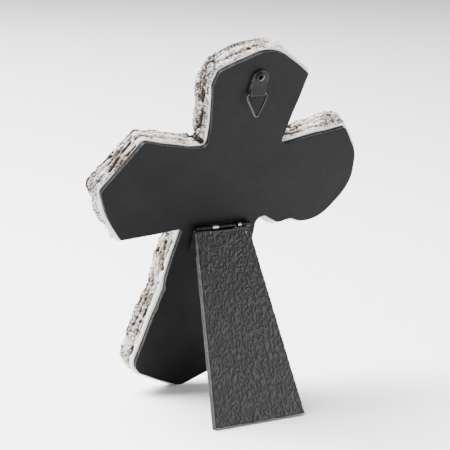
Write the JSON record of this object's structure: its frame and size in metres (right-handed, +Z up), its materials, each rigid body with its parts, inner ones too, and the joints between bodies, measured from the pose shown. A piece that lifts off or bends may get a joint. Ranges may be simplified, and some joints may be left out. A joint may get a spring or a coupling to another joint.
{
  "type": "cross plaque with easel back",
  "caption": "Cross-shaped plaque in cast stone resin with chipped rock edges, a black board back, a strap hanger with a wire ring and a hinged easel leg.",
  "frame": {"origin": "on the ground under the middle of the part's box, standing on its tip and its open leg", "axes": "+Z up, the plaque's front faces -Y and its back, hanger and leg +Y, +X to the right of someone who looks at the front"},
  "size_m": [0.1536, 0.0956, 0.1881],
  "materials": {
    "cast_stone": "matt cream resin stone with a thin brown wash in its hollows",
    "backing_board": "matt black paper over grey pulp board, cut edges bare",
    "leatherette": "pulp board covered in grained black leatherette paper",
    "black_metal": "satin black enamel, worn bright on its edges",
    "ring_wire": "black wire, satin",
    "bare_steel": "drawn steel, dull"
  },
  "bodies": {
    "plaque": {"stone_cross": "cast_stone", "backing_board": "backing_board", "hanger_strap": "black_metal", "hanger_rivet": "black_metal", "hinge_board_leaf": "black_metal", "hinge_pin": "bare_steel"},
    "leg": {"easel_leg": "leatherette", "hinge_leg_leaf": "black_metal"},
    "ring": {"hanging_ring": "ring_wire"}
  },
  "joints": [
    {"name": "easel_hinge", "type": "hinge", "parent": "plaque", "child": "leg", "pos_m": [-0.00047, 0.00844, 0.09225], "axis": [1, 0, 0], "range_deg": [-45.5, 0]},
    {"name": "ring_swing", "type": "hinge", "parent": "plaque", "child": "ring", "pos_m": [0.00023, 0.04046, 0.16139], "axis": [1, 0, 0], "range_deg": [-28, 145]}
  ]
}
